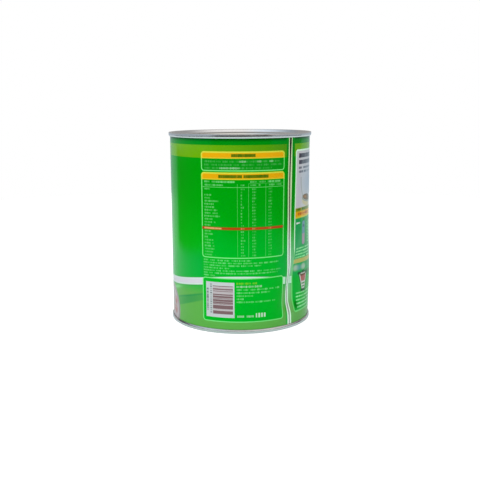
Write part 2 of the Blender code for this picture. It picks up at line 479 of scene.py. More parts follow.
def lid_outline():
    curl_foot = PANEL_DEPTH - GAP
    field = DISH_DEPTH - LID_FIELD_RISE
    corners = [
        (0, DISH_DEPTH + PLATE, 0),
        (PLUG_RADIUS, DISH_DEPTH + PLATE, 0),
        (PLUG_RADIUS, curl_foot, 0),
        (CURL_RADIUS, curl_foot, CURL_ROUNDING),
        (CURL_RADIUS, CURL_TOP_DEPTH, CURL_ROUNDING),
        (DISH_RIM_RADIUS, CURL_TOP_DEPTH, CURL_INNER_ROUNDING),
        (DISH_RADIUS, DISH_DEPTH, PANEL_ROUNDING),
        (LID_FIELD_RADIUS + BEAD_SLOPE, DISH_DEPTH, BEAD_ROUNDING),
        (LID_FIELD_RADIUS, field, BEAD_ROUNDING),
    ]
    corners += bead_corners(LID_BEAD_RADIUS, field)
    return rounded(corners + [(0, field, 0)])


def wall_outline():
    """The filled wall's outline, in even rows up its outer side, with a pocket for the lid's dish."""
    lip = WALL_RADIUS - LIP_THICKNESS
    foot = GROOVE_DEPTH + GAP
    floor = PANEL_DEPTH + PLATE + GAP
    pocket_radius = PLUG_RADIUS + GAP
    pocket = HEIGHT - (DISH_DEPTH + PLATE + GAP)
    span = HEIGHT - 2 * foot
    rows = round(span / WALL_ROW)
    wall = [(WALL_RADIUS, foot + span * row / rows) for row in range(rows + 1)]
    under = [(0, floor), (lip, floor), (lip, foot)]
    over = [(lip, HEIGHT - foot), (lip, HEIGHT - floor), (pocket_radius, HEIGHT - floor)]
    return under + wall + over + [(pocket_radius, pocket), (0, pocket)]


def turned_piece(name, outline, steps_round, finish, more_steps=()):
    points = [(radius, 0.0, height) for radius, height in outline]
    values = {
        "Steps round": steps_round,
        "Outline points": len(points),
        "Print radius": WALL_RADIUS,
        "Finish": finish,
    }
    piece = grown(name, points, [(TURNED, values), *more_steps])
    piece.data.set_sharp_from_angle(angle=SHARP_ANGLE)
    return piece


def from_top(outline):
    """The outline with its depths measured down from the top rim, in the order that faces outwards."""
    return [(radius, HEIGHT - depth) for radius, depth in reversed(outline)]


# Inks, as the photograph shows them in plain light, turned into linear colour

def ink(red, green, blue):
    shares = [value / 255 for value in (red, green, blue)]
    return tuple(c / 12.92 if c <= 0.04045 else ((c + 0.055) / 1.055) ** 2.4 for c in shares)


FIELD_GREEN = ink(0, 170, 6)
PAINTED_SHADE_GREEN = ink(0, 148, 0)
PAINTED_REFLECTION_TEAL = ink(0, 150, 90)
DARK_GREEN = ink(0, 132, 4)
# Deep green ink for printed dark shapes, and the painted shadow under the top seam
DEEP_INK_AND_SHADOW_GREEN = ink(0, 62, 0)
SPECK_GREEN = ink(0, 60, 0)
CONTENTS_GREEN = ink(6, 142, 12)
LIME = ink(106, 168, 0)
LIME_SHADE = ink(70, 138, 0)
APPLE_GREEN = ink(92, 166, 66)
STREAK_GREEN = ink(22, 134, 66)
FRESH_GREEN = ink(40, 168, 56)
AMBER = ink(220, 161, 0)
AMBER_EDGE = ink(206, 206, 60)
YELLOW_GREEN = ink(176, 214, 40)
OLIVE = ink(48, 98, 0)
ORANGE = ink(172, 58, 0)
PEACH = ink(244, 200, 134)
LINE_GREEN = ink(120, 224, 124)
PRINT_GREEN = ink(150, 240, 160)
PALE = ink(216, 248, 220)
WHITE = ink(240, 242, 242)
SWOOSH_WHITE = ink(206, 202, 214)
MINT_WHITE = ink(190, 236, 206)
LABEL_WHITE = ink(190, 194, 198)
MAROON = ink(112, 68, 80)
PANEL_GREY = ink(196, 194, 200)
HEADING_GREY = ink(60, 46, 68)
BLUE_GREY = ink(164, 180, 202)
SPOON_GREY = ink(146, 150, 146)
STRAW = ink(196, 180, 92)
OLIVE_BAND = ink(150, 146, 20)
INSET_GREEN = ink(24, 156, 76)
LEAF_GREEN = ink(6, 118, 16)
GLASS_BLUE = ink(110, 146, 172)
GLASS_PINK = ink(170, 140, 160)
GLASS_DARK = ink(62, 84, 110)
BLUSH = ink(178, 152, 162)
DISH_GREY = ink(170, 154, 160)
DISH_EDGE = ink(112, 98, 108)
RED_SPOT = ink(170, 62, 66)
CUP_RED = ink(170, 70, 74)
CUP_WHITE = ink(206, 206, 204)
STRIP_WHITE = ink(226, 252, 232)
STRIP_CREAM = ink(206, 226, 178)
CREAM = ink(244, 236, 216)
MUG_HANDLE = ink(214, 208, 196)
MUG_SHADE = ink(196, 184, 168)
MUG_BAND = ink(112, 178, 20)
COCOA = ink(92, 48, 24)
COCOA_LIGHT = ink(176, 118, 66)

# Bare metal: the plate that the print leaves free beside the weld, the weld's bead, the seams and the lid
# The bare metal's and the bead's brown and near black tones are partly heat tint and partly painted shade,
# darker upwards
BARE_STEEL, BROWNED_AND_SHADED_STEEL, BURNT_AND_SHADED_STEEL = ink(204, 200, 192), ink(160, 156, 136), ink(30, 20, 14)
BEAD_GREY, BEAD_BROWN_AND_SHADE, BEAD_BURNT_AND_SHADE = ink(166, 174, 168), ink(112, 100, 84), ink(20, 12, 8)
BEAD_STAIN = ink(150, 136, 122)
SEAM_TINPLATE = ink(222, 222, 222)
LID_TINPLATE = ink(214, 212, 206)

# Softness of a printed shape's edge, in mm
EDGE = 0.12


def cover(distance, edge=EDGE):
    """1 where the distance is below 0, 0 outside, with a soft edge this wide."""
    return smooth_step(distance, edge / 2, -edge / 2)


def chance(x, y, seed):
    """A fixed random number from 0 to 1 for each pair of whole numbers."""
    spread = x.math("MULTIPLY_ADD", 12.9898, y * 78.233 + seed)
    return (spread.sine() * 43758.5453).math("FRACT")


def mixed(tree, share, first, second):
    """Two colours mixed. Each is a signal or a linear colour."""
    node = add_node(tree, "ShaderNodeMix", {"data_type": "RGBA"}, {0: share})
    for key, colour in ((6, first), (7, second)):
        if isinstance(colour, Signal):
            tree.links.new(colour.socket, node.inputs[key])
        else:
            node.inputs[key].default_value = (*colour, 1.0)
    return Signal(tree, node.outputs[2])


class Print:
    """The wall's print as it is laid down. Each call lays one more ink over what is there."""

    def __init__(self, tree, s, z, ground):
        self.tree = tree
        self.s = s
        self.z = z
        self.colour = ground

    def lay(self, mask, colour, strength=1.0):
        share = mask if strength == 1.0 else mask * strength
        self.colour = mixed(self.tree, share, self.colour, colour)

    def box(self, left, right, low, high, corner=0.0):
        """Distance in mm to a box with rounded corners, below 0 inside."""
        across = abs(self.s - (left + right) / 2) - ((right - left) / 2 - corner)
        along = abs(self.z - (low + high) / 2) - ((high - low) / 2 - corner)
        if corner == 0:
            return across.most(along)
        beyond_s, beyond_z = across.most(0.0), along.most(0.0)
        outside = (beyond_s * beyond_s + beyond_z * beyond_z).math("SQRT")
        return outside + across.most(along).least(0.0) - corner

    def ellipse(self, s, z, half_width, half_height):
        """Roughly the distance in mm to an ellipse, below 0 inside."""
        across, along = (self.s - s) / half_width, (self.z - z) / half_height
        return ((across * across + along * along).math("SQRT") - 1) * min(half_width, half_height)

    def glow(self, s, z, reach_s, reach_z):
        """1 at this place, falling off like a bell curve."""
        return hump((self.s - s) / reach_s, (self.z - z) / reach_z)

    def belt(self, z, half_width, edge=EDGE):
        """1 round the wall at this height, as far as the half width to both sides of it."""
        return cover(abs(self.z - z) - half_width, edge)

    def fill(self, distance, colour, strength=1.0, edge=EDGE):
        self.lay(cover(distance, edge), colour, strength)

    def outline(self, distance, width, colour):
        self.lay(cover(abs(distance) - width / 2), colour)

    def row_end(self, top, pitch, ends):
        """The right end of the row that a place is in, from one given end for each row."""
        lowest, widest = min(ends), max(ends)
        steps = [(end - lowest) / (widest - lowest) for end in ends]
        row = ((top - self.z) / pitch).floor()
        share = output(self.tree, "ShaderNodeValToRGB", {"steps": steps}, {0: (row + 0.5) / len(ends)})
        return share * (widest - lowest) + lowest

    def small_print(self, left, ends, top, pitch, tall, seed, colour=PRINT_GREEN, strength=0.5, **changes):
        """Rows of plain dashes in place of text, one for each right end, in mm from the top row down.

        The words of changes are other inputs of the dashes' group.
        """
        right = self.row_end(top, pitch, ends) if len(set(ends)) > 1 else ends[0]
        values = {"s": self.s, "z": self.z, "Left": left, "Right": right, "Top": top, "Pitch": pitch}
        values = {**DASH_INPUTS, **values, "Rows": len(ends), "Tall": tall, "Seed": seed, **changes}
        ink_share = output(self.tree, "ShaderNodeGroup", {"node_tree": DASHES}, values)
        self.lay(ink_share, colour, strength)

    def heading(self, left, right, low, high, seed, colour, strength=0.95, letter=1.5, body=0.46):
        """One line of bold, even blocks."""
        self.small_print(left, (right,), high, high - low, high - low, seed, colour, strength,
                         Letter=letter, Word=letter * 11, Fill=0.9, Body=body, Evenness=0.9)


DASH_INPUTS = {
    "Left": 0.0, "Right": 10.0, "Top": 0.0, "Pitch": 2.0, "Rows": 1.0, "Tall": 1.2, "Seed": 1.0,
    "Word": 5.4, "Fill": 0.72, "Letter": 0.8, "Body": 0.26, "Evenness": 0.45,
}


def dashes_group():
    """Rows of dashes: words of uneven length, made of short blocks of uneven width and ink."""
    inputs = [(name, "Float") for name in ("s", "z", *DASH_INPUTS)]
    group, given = new_group("plain_dashes", "ShaderNodeTree", inputs, ("Ink", "Float"))
    seed = given["Seed"]
    depth = (given["Top"] - given["z"]) / given["Pitch"]
    row = depth.floor()
    from_middle = abs(depth - row - 0.5) * given["Pitch"]
    draw = chance(row, seed, 1.7)
    start = given["s"] - given["Left"]

    place = start / (given["Word"] * (draw * 0.5 + 0.75))
    word = place.floor()
    in_word = (place - word) < chance(word, row, seed) * 0.25 + given["Fill"]

    width = given["Letter"] * (draw * 0.1 + 0.95)
    place = start / width
    letter = place.floor()
    letter_draw = chance(letter, row, seed + 3.1)
    half_width = (letter_draw * 0.14 + given["Body"]) * width
    block = smooth_step(abs(place - letter - 0.5) * width - half_width, 0.09, -0.09)
    tall = (letter_draw > 0.72) * (1 - given["Evenness"]) * 0.35 + 0.86
    band = smooth_step(from_middle - given["Tall"] * 0.5 * tall, 0.09, -0.09)
    tone = letter_draw * (1 - given["Evenness"]) + given["Evenness"]

    inside = (start > 0.0) * (given["s"] < given["Right"]) * (depth > 0.0) * (depth < given["Rows"])
    give(in_word * block * band * tone * inside)
    return group


DASHES = dashes_group()


# Print of the photographed side, in mm on the unrolled wall

ROUND = math.tau * WALL_RADIUS / MM
WELD_MM = WELD_ARC / MM
LINE = 0.66

# Painted light on the green field: painted shade on its upper part and its middle, and a painted teal
# reflection of the white table low down beside the tables
FIELD_SPLIT, UPPER_FULL_FROM, TEAL_INNER = 54.0, 114.0, 27.0
DARK_REFLECTION_PLACE, DARK_REFLECTION_REACH = (8.0, 88.0), (26.0, 18.0)

# The wave, and the streak that slants over the field below it
WAVE_MIDDLE, WAVE_RISE, WAVE_WIDTH = 36.0, 3.7, 5.0
FRESH_FROM_TO = (24.0, 32.0)
STREAK_PLACE, STREAK_SLOPE, STREAK_REACH = (-40.0, 23.1), 0.248, 14.0
STREAK_HALF_DEPTH, STREAK_TAPER = 2.75, 0.04

# The bands under the top seam, and the painted shadow just under it
BAND_LOW, BAND_HIGH = 118.6, 127.0
CREASE_SHADE = (128.6, 131.0)

# The painted shade beside the weld
WELD_SHADE_MIDDLE, WELD_SHADE_HALF_WIDTH = WELD_MM + 0.2, 4.0

# The framed panels with the contents, the values table and the bar pattern
TABLE_LEFT, TABLE_RIGHT, PANEL_CORNER = -27.0, 31.6, 2.2
CONTENTS_LOW_HIGH, CONTENTS_HEAD = (110.1, 122.9), 118.4
CONTENTS_TOP, CONTENTS_PITCH = 117.5, 2.15
VALUES_LOW_HIGH, VALUES_HEAD = (52.0, 109.3), 104.6
BAR_PANEL = (-27.0, 31.4, 7.8, 38.5)
ADDRESS_LEFT, ADDRESS_PITCH = -2.8, 2.13

# Rows of the values table, and where each row's label and its count end
TABLE_TOP, TABLE_PITCH, STRIPE_ROW = 99.4, 2.014, 13
STRIPE_LEFT, STRIPE_RIGHT, STRIPE_HALF_WIDTH = -26.6, 30.9, 0.78
RULES, LABEL_LEFT, COUNT_LEFT, VALUE_LEFTS = (-1.85, 5.5, 17.2), -25.0, 0.2, (7.8, 19.1)
LABEL_ENDS = (
    -20.6, -25.0, -19.6, -19.0, -14.6, -18.0, -17.5, -15.5, -15.2, -13.5, -18.0, -16.5, -19.7, -25.0,
    -20.0, -16.7, -22.5, -18.6, -18.5, -17.9, -17.5, -17.8, -17.0,
)
COUNT_ENDS = (
    2.9, 1.6, 1.4, 1.4, 1.4, 1.4, 2.6, 1.4, 1.4, 1.4, 1.4, 1.4, 2.6, 1.4,
    2.5, 2.6, 2.0, 3.2, 2.6, 2.4, 2.6, 2.4, 3.2,
)

# The bar pattern's pale ground, its bars, and the widths of a bar, a group of bars and a digit under them
BAR_LABEL, BARS = (-24.3, -4.2, 11.0, 35.5), (-19.3, -5.2, 13.3, 33.0)
BAR_MODULE, BAR_CLUSTER, DIGIT_PITCH = 0.42, 1.3, 1.5


def lay_field_shade_and_reflection(sheet):
    """Painted light on the green field: painted shade darker towards its top, a painted dark reflection in
    its middle behind the tables, and a painted teal reflection of the white table low down beside them.
    """
    # Painted reflection: the white table mirrored as a teal tint low down beside the tables
    teal = cover(sheet.z - FIELD_SPLIT, 12.0) * cover(TEAL_INNER - abs(sheet.s), 6.0)
    sheet.lay(teal, PAINTED_REFLECTION_TEAL, 0.22)
    # Painted shade: the field darker towards its top, standing in for less bounce light from the floor up
    # there
    sheet.lay(smooth_step(sheet.z, FIELD_SPLIT, UPPER_FULL_FROM), PAINTED_SHADE_GREEN)
    # Painted reflection: the middle darker where it mirrors the dim room in front
    sheet.lay(sheet.glow(*DARK_REFLECTION_PLACE, *DARK_REFLECTION_REACH), PAINTED_SHADE_GREEN, 0.6)


def lay_wave(sheet):
    """The lighter field with its slanting streak, under the white wave."""
    wave = (sheet.s * (2 * math.tau / ROUND)).cosine() * WAVE_RISE + WAVE_MIDDLE
    below = sheet.z - wave
    sheet.fill(below, APPLE_GREEN)
    sheet.lay(cover(below) * smooth_step(sheet.z, *FRESH_FROM_TO), FRESH_GREEN, 0.85)
    reach = sheet.s - STREAK_PLACE[0]
    line = sheet.z - STREAK_PLACE[1] - reach * STREAK_SLOPE
    half_depth = STREAK_HALF_DEPTH - reach * STREAK_TAPER
    fade = ridge(reach / STREAK_REACH)
    sheet.lay(cover(abs(line + half_depth) - half_depth, 1.2) * fade, STREAK_GREEN, 0.62)
    sheet.lay(cover(abs(line) - 0.5, 1.4) * fade, STREAK_GREEN, 0.85)
    sheet.lay(hump((reach + 16) / 4.5, (line - 7.0) / 0.8), PRINT_GREEN, 0.4)
    wave_shape = abs(below + WAVE_WIDTH / 2) - WAVE_WIDTH / 2
    sheet.fill(wave_shape - 0.5, DARK_GREEN, 0.4, 0.5)
    sheet.fill(wave_shape, SWOOSH_WHITE, 1.0, 0.5)
    sheet.lay(cover(abs(wave_shape + 0.55) - 0.3, 0.5), MINT_WHITE, 0.6)
    sheet.lay(cover(wave_shape) * smooth_step(sheet.s, 22.0, 32.0), MINT_WHITE, 0.8)


def lay_top_bands(sheet):
    """The lime band and the dark band under the top seam, with painted shade darkening the lime towards the
    weld and a painted shadow just under the seam.
    """
    band = cover(BAND_LOW - sheet.z, 0.3)
    sheet.lay(band, LIME)
    # Painted shade: the lime band darkens towards the weld, as if lit more from the left
    sheet.lay(band * smooth_step(sheet.s, -60.0, 60.0) * smooth_step(sheet.s, 44.0, 33.0), LIME_SHADE)
    sheet.fill(BAND_HIGH - sheet.z, DARK_GREEN, 1.0, 0.3)
    # Painted shadow: the wall darkens just under the top seam, where the seam's overhang shades it
    sheet.lay(smooth_step(sheet.z, *CREASE_SHADE), DEEP_INK_AND_SHADOW_GREEN, 0.9)


def lay_weld_shade_and_highlight(sheet):
    """Painted shade darkening the ground beside the weld, a teal belt, and low down a painted highlight on
    the dent's flank and a fresh green edge.
    """
    beside_weld = cover(abs(sheet.s - WELD_SHADE_MIDDLE) - WELD_SHADE_HALF_WIDTH, 1.2)
    # Painted shade: the ground beside the weld darkens upwards
    sheet.lay(beside_weld * cover(74.0 - sheet.z, 30.0), DARK_GREEN)
    sheet.lay(beside_weld * sheet.belt(47.0, 12.0, 24.0), STREAK_GREEN, 0.5)
    # Painted highlight where the dent's flank beside the weld catches the light
    sheet.lay(sheet.glow(WELD_MM + 3.0, 38.0, 1.9, 15.0), MINT_WHITE, 0.42)
    sheet.lay(cover(abs(sheet.s - WELD_MM + 2.8) - 0.6, 0.5) * cover(sheet.z - 50.0, 8.0), FRESH_GREEN, 0.9)


def lay_headed_panel(sheet, low_high, head_low, ground=None):
    """A framed panel with an amber head. Returns the distance to the panel, below 0 inside."""
    panel = sheet.box(TABLE_LEFT, TABLE_RIGHT, *low_high, PANEL_CORNER)
    if ground:
        sheet.fill(panel, ground)
    sheet.fill(panel.most(head_low - sheet.z), AMBER)
    sheet.outline(panel + LINE / 2, LINE, LINE_GREEN)
    sheet.lay(cover(abs(panel + 0.4) - 0.5, 0.3) * cover(head_low - 0.2 - sheet.z, 0.8), AMBER_EDGE)
    sheet.lay(sheet.belt(head_low + 0.3, 0.3, 0.4) * cover(panel + LINE), AMBER_EDGE, 0.6)
    return panel


def lay_contents_panel(sheet):
    """A heading and three rows of small print, with bolder words in the first and the last."""
    lay_headed_panel(sheet, CONTENTS_LOW_HIGH, CONTENTS_HEAD, CONTENTS_GREEN)
    sheet.heading(-5.8, 10.2, 119.2, 121.5, 11.0, OLIVE)
    ends = (28.0, 29.2, 21.6)
    sheet.small_print(-24.6, ends, CONTENTS_TOP, CONTENTS_PITCH, 1.2, 21.0, strength=0.18)
    for left, right, row in ((11.4, 14.4, 0), (19.8, 22.8, 0), (-0.4, 4.0, 0), (-13.9, 0.0, 2)):
        top = CONTENTS_TOP - row * CONTENTS_PITCH
        bold = {"Word": 20.0, "Letter": 0.7}
        sheet.small_print(left, (right,), top, CONTENTS_PITCH, 1.3, 22.0, PALE, 0.36, **bold)


def lay_values_panel(sheet):
    """A heading of two words, the heads of the columns, and the rules between them."""
    panel = lay_headed_panel(sheet, VALUES_LOW_HIGH, VALUES_HEAD)
    sheet.heading(-14.5, 1.3, 105.5, 107.9, 12.0, OLIVE)
    sheet.heading(2.1, 19.2, 105.5, 107.9, 12.5, OLIVE)
    inside = cover(panel + 0.9)
    for place in RULES:
        rule = cover(abs(sheet.s - place) - 0.14) * cover(sheet.z - 101.9)
        sheet.lay(rule * inside, LINE_GREEN, 0.4)
    sheet.lay(sheet.belt(99.6, 0.16) * inside, LINE_GREEN, 0.7)
    sheet.lay(sheet.belt(102.1, 0.12) * inside * (sheet.s > RULES[1]), LINE_GREEN, 0.35)
    heads = ((-24.8, (-3.3, -11.3)), (-15.0, (-3.4, -12.5)), (6.6, (28.4, 13.7)), (19.4, (28.0, 29.0)))
    for left, ends in heads:
        sheet.small_print(left, ends, 104.3, 2.2, 1.2, 31.0 + left, PRINT_GREEN, 0.42)
    sheet.small_print(COUNT_LEFT, (2.9,), 102.1, 2.2, 1.2, 30.0)


def lay_values_rows(sheet):
    """Each row's label, count and two values, and the orange stripe over one row."""
    rows = (TABLE_TOP, TABLE_PITCH, 1.15)
    sheet.small_print(LABEL_LEFT, LABEL_ENDS, *rows, 32.0, strength=0.4, Word=7.0, Letter=0.7)
    sheet.small_print(COUNT_LEFT, COUNT_ENDS, *rows, 41.0, strength=0.28, Word=9.0, Letter=1.1)
    for index, left in enumerate(VALUE_LEFTS):
        ends = (left + 2.7,) * len(LABEL_ENDS)
        sheet.small_print(left, ends, *rows, 43.0 + index, strength=0.26, Word=3.0, Letter=1.0)
    middle = TABLE_TOP - TABLE_PITCH * (STRIPE_ROW + 0.5)
    low, high = middle - STRIPE_HALF_WIDTH, middle + STRIPE_HALF_WIDTH
    stripe = sheet.box(STRIPE_LEFT, STRIPE_RIGHT, low, high, 0.3)
    sheet.fill(stripe - 0.5, OLIVE, 0.5, 0.9)
    sheet.fill(stripe, ORANGE)
    row = (middle + TABLE_PITCH / 2, TABLE_PITCH, 1.2)
    sheet.small_print(-25.2, (-12.6,), *row, 34.0, PEACH, 0.62, Word=20.0, Evenness=0.8, Body=0.4)
    for left in (COUNT_LEFT, *VALUE_LEFTS):
        sheet.small_print(left, (left + 2.6,), *row, 35.0 + left, PEACH, 0.3, Word=9.0, Letter=1.1)


def lay_notes(sheet):
    """Seven rows of small print between the table and the bar pattern's panel."""
    ends = (7.2, 27.0, 14.0, -6.9, 29.6, 26.2, -16.8)
    sheet.small_print(-26.0, ends, 51.4, 1.76, 1.0, 61.0, Word=4.6, Letter=0.7)


def lay_bars(sheet):
    """A made-up bar pattern on its own pale ground, lying on its side."""
    sheet.fill(sheet.box(*BAR_LABEL), LABEL_WHITE)
    module = (sheet.z / BAR_MODULE).floor()
    cluster = (sheet.z / BAR_CLUSTER).floor()
    dark = chance(module, 7.0, 3.0) * 0.6 + chance(cluster, 8.0, 4.0) * 0.9
    bars = cover(sheet.box(*BARS))
    sheet.lay(bars, BLUSH, 0.6)
    sheet.lay((dark > 0.56) * bars, MAROON, 0.9)
    digit = (sheet.z / DIGIT_PITCH).floor()
    solid = chance(digit, 9.0, 5.0) * 0.6 + 0.4
    mark = cover(abs(sheet.z / DIGIT_PITCH - digit - 0.5) * DIGIT_PITCH - 0.5, 0.2)
    sheet.lay(mark * solid * cover(sheet.box(-21.3, -19.9, 13.4, 34.6)), HEADING_GREY, 0.75)
    sheet.lay(chance(module, 2.0, 6.0) * cover(sheet.box(-23.9, -22.4, 15.5, 31.0)), HEADING_GREY, 0.9)


def lay_bar_panel(sheet):
    """The panel behind the bar pattern, with an address's rows and one bold mark."""
    panel = sheet.box(*BAR_PANEL, PANEL_CORNER)
    sheet.fill(panel, FIELD_GREEN)
    sheet.outline(panel + LINE / 2, LINE, LINE_GREEN)
    left, pitch, words = ADDRESS_LEFT, ADDRESS_PITCH, {"Letter": 0.8, "Word": 5.2}
    sheet.small_print(left, (11.1,), 36.0, pitch, 1.3, 71.0, YELLOW_GREEN, 0.5, **words)
    sheet.small_print(left, (14.7,), 33.8, pitch, 1.4, 72.0, WHITE, 0.4, Word=20.0)
    sheet.small_print(left, (27.9, 20.5, 9.0, 2.0, 24.5), 31.65, pitch, 1.15, 73.0, **words)
    sheet.small_print(-2.4, (8.9,), 13.1, 2.1, 1.6, 75.0, WHITE, 0.48, Word=6.5, Letter=0.8, Evenness=0.8)
    sheet.heading(9.8, 17.3, 10.9, 14.3, 13.0, WHITE, 0.6, 1.9, 0.22)


# Print round to the right of the weld, seen at a slant in the photograph

SIDE_LEFT, SIDE_RIGHT, SIDE_LOW, SIDE_HIGH, SIDE_CORNER = 43.0, 100.0, 9.6, 122.8, 2.0
SIDE_HEAD_LOW = 82.6


def lay_side_panel(sheet):
    """The tall panel beyond the weld: a pale head with headings, a spoon of powder, and an amber band."""
    panel = sheet.box(SIDE_LEFT, SIDE_RIGHT, SIDE_LOW, SIDE_HIGH, SIDE_CORNER)
    sheet.fill(panel, INSET_GREEN)
    sheet.lay(cover(panel) * cover(sheet.z - 36.0, 8.0), FIELD_GREEN, 0.8)
    sheet.fill(panel.most(SIDE_HEAD_LOW - sheet.z), PANEL_GREY)
    edge = cover(abs(panel + LINE / 2) - LINE * 0.8)
    sheet.lay(edge, LINE_GREEN, 0.75)
    # Painted highlight: the panel's edge turns white low down, on the dent's flank
    sheet.lay(edge * cover(53.0 - sheet.z, 6.0), STRIP_WHITE, 0.8)
    inside = cover(panel + LINE)
    sheet.heading(46.6, 80.0, 117.0, 120.4, 14.0, HEADING_GREY, 1.0, 2.2)
    sheet.heading(46.6, 74.0, 112.7, 115.9, 15.0, HEADING_GREY, 1.0, 2.2)
    bold = {"Body": 0.42, "Word": 7.0, "Letter": 1.0, "Evenness": 0.7}
    sheet.small_print(46.6, (84.0, 79.0), 111.8, 2.7, 1.7, 81.0, HEADING_GREY, 1.0, **bold)
    sheet.lay(sheet.glow(66.0, 100.0, 11.0, 8.0) * inside, BLUE_GREY, 0.9)
    handle = abs(sheet.s - 50.0 - (sheet.z - 103) * (sheet.z - 103) * 0.02) - 0.45
    sheet.lay(cover(handle, 0.6) * sheet.belt(97.0, 7.0), SPOON_GREY, 0.9)
    tilted = Print(sheet.tree, sheet.s, sheet.z + (sheet.s - 60) * 0.14, sheet.colour)
    tilted.fill(tilted.ellipse(60.0, 86.2, 7.6, 3.0), STRAW, 0.6, 1.2)
    tilted.fill(tilted.ellipse(60.6, 88.4, 8.6, 2.4), SPOON_GREY, 1.0, 0.5)
    tilted.fill(tilted.ellipse(61.0, 89.4, 7.6, 2.2), COCOA, 0.95, 0.5)
    tilted.lay(tilted.glow(57.6, 89.4, 2.4, 0.8), COCOA_LIGHT, 0.7)
    sheet.colour = tilted.colour
    sheet.lay(inside * sheet.belt(78.4, 2.4, 0.4), AMBER)
    sheet.lay(inside * sheet.belt(81.6, 1.3, 0.8), OLIVE_BAND)
    sheet.lay(inside * sheet.belt(76.2, 0.5, 0.6), AMBER_EDGE, 0.8)
    sheet.small_print(45.0, (72.0,), 82.9, 2.2, 1.7, 87.0, OLIVE, 1.0, Body=0.46, Letter=1.6, Word=6.4)
    sheet.small_print(47.0, (64.0,), 79.8, 2.4, 1.7, 88.0, ORANGE, 0.85, Body=0.42, Letter=1.4, Word=9.0)


def lay_side_insets(sheet):
    """Under the amber band: a beaker, rows of small print, a straw band, and a cup on a green ground."""
    sheet.small_print(45.0, (50.2,), 73.2, 1.8, 1.2, 82.0, WHITE, 1.0, Word=20.0, Body=0.46)
    beaker = sheet.box(53.6, 57.6, 56.5, 73.0, 1.6)
    sheet.fill(beaker - 0.5, GLASS_DARK, 0.5, 0.8)
    sheet.fill(beaker, GLASS_BLUE, 0.85, 0.9)
    sheet.fill(beaker.most(sheet.z - 64.0), GLASS_PINK, 0.9, 0.9)
    sheet.fill(sheet.box(54.2, 57.0, 68.6, 70.6, 0.8), GLASS_DARK, 0.8, 0.7)
    sheet.fill(sheet.box(53.8, 57.4, 73.2, 75.0, 0.5), DARK_GREEN, 1.0, 0.6)
    rows = {"Word": 12.0, "Body": 0.42, "Fill": 0.86, "Evenness": 0.6}
    sheet.small_print(62.0, (94.0, 90.0, 95.0, 84.0, 92.0, 94.0, 80.0), 72.0, 2.2, 1.2, 83.0, **rows)
    sheet.small_print(45.4, (96.0, 90.0, 94.0, 88.0), 55.3, 2.1, 1.15, 84.0, strength=0.9, **rows)
    inside = cover(SIDE_LEFT + LINE - sheet.s) * cover(sheet.s - SIDE_RIGHT)
    sheet.lay(inside * sheet.belt(45.4, 1.5, 0.8), STRAW, 0.85)
    for place, shade in ((46.8, CUP_WHITE), (50.4, GLASS_BLUE), (55.4, CUP_WHITE)):
        sheet.fill(sheet.ellipse(place, 40.6, 2.6, 2.0), shade, 0.55, 2.4)
    sheet.fill(sheet.ellipse(63.6, 35.4, 4.8, 2.2), LEAF_GREEN, 0.9, 0.8)
    slope = abs(sheet.s - 55.2) - 1.9 - (sheet.z - 24.6) * 0.26
    cup = slope.most(abs(sheet.z - 30.4) - 5.8)
    sheet.fill(sheet.ellipse(55.2, 23.6, 3.4, 1.3), DEEP_INK_AND_SHADOW_GREEN, 0.85, 0.9)
    sheet.fill(cup - 0.8, DEEP_INK_AND_SHADOW_GREEN, 0.75, 0.9)
    sheet.fill(cup, CUP_WHITE, 0.95, 0.5)
    sheet.fill((cup + 0.9).most(30.0 - sheet.z), CUP_RED, 0.95, 0.7)
    sheet.fill((cup + 0.9).most(34.0 - sheet.z), COCOA, 0.9, 0.5)
    stripes = sheet.belt(26.2, 0.5, 0.3).most(sheet.belt(28.4, 0.5, 0.3))
    sheet.lay(cover(cup + 0.6) * stripes, LEAF_GREEN, 0.9)
    for place, height in ((50.6, 36.2), (55.0, 37.0), (59.4, 36.0)):
        sheet.fill(sheet.ellipse(place, height, 1.9, 1.1), DEEP_INK_AND_SHADOW_GREEN, 0.85, 0.8)
    sheet.fill(sheet.ellipse(46.4, 14.4, 1.8, 2.6), LEAF_GREEN, 0.85, 1.2)
    sheet.small_print(47.0, (96.0, 90.0, 94.0, 85.0, 92.0), 23.4, 2.45, 1.15, 85.0, strength=0.95, **rows)
    sheet.small_print(70.0, (94.0, 96.0, 90.0, 95.0, 88.0), 36.0, 2.2, 1.1, 86.0, **rows)


# Print round to the left, most of it past what the photograph shows

DISH_PLACE, DISH_SIZE = (-68.0, 9.5), (16.0, 17.5)
SEAL_PLACE, SEAL_RADIUS = (-93.0, 88.0), 11.0


def lay_left_picture(sheet):
    """A plain pale dish with a few red fruits, which the base cuts off."""
    dish = sheet.ellipse(*DISH_PLACE, *DISH_SIZE)
    sheet.fill(dish, DISH_GREY, 1.0, 1.0)
    sheet.lay(cover(abs(dish + 1.2) - 0.7, 1.4), DISH_EDGE, 0.6)
    sheet.lay(cover(abs(dish + 3.6) - 0.4, 1.0), WHITE, 0.3)
    for s, z in ((-59.2, 15.4), (-66.0, 8.4), (-73.0, 14.0), (-60.0, 8.6)):
        fruit = sheet.ellipse(s, z, 2.8, 3.0)
        sheet.fill(fruit, RED_SPOT, 0.6, 2.0)
        sheet.lay(sheet.glow(s - 0.9, z + 1.4, 0.9, 0.7), WHITE, 0.2)


def lay_ear(sheet, s, z, colour):
    """A plain ear of grain: a stem, four pairs of grains, and one at the tip."""
    side = abs(sheet.s - s)
    sheet.fill(side.most(abs(sheet.z - z) - 6.4) - 0.3, colour)
    for step in range(4):
        rise = sheet.z - (z - 3.2 + 2.7 * step) - side * 0.9
        grain = ((side - 1.9) * (side - 1.9) * 0.5 + rise * rise).math("SQRT") - 1.0
        sheet.fill(grain, colour)
    sheet.fill(sheet.ellipse(s, z + 7.0, 0.9, 1.7), colour)


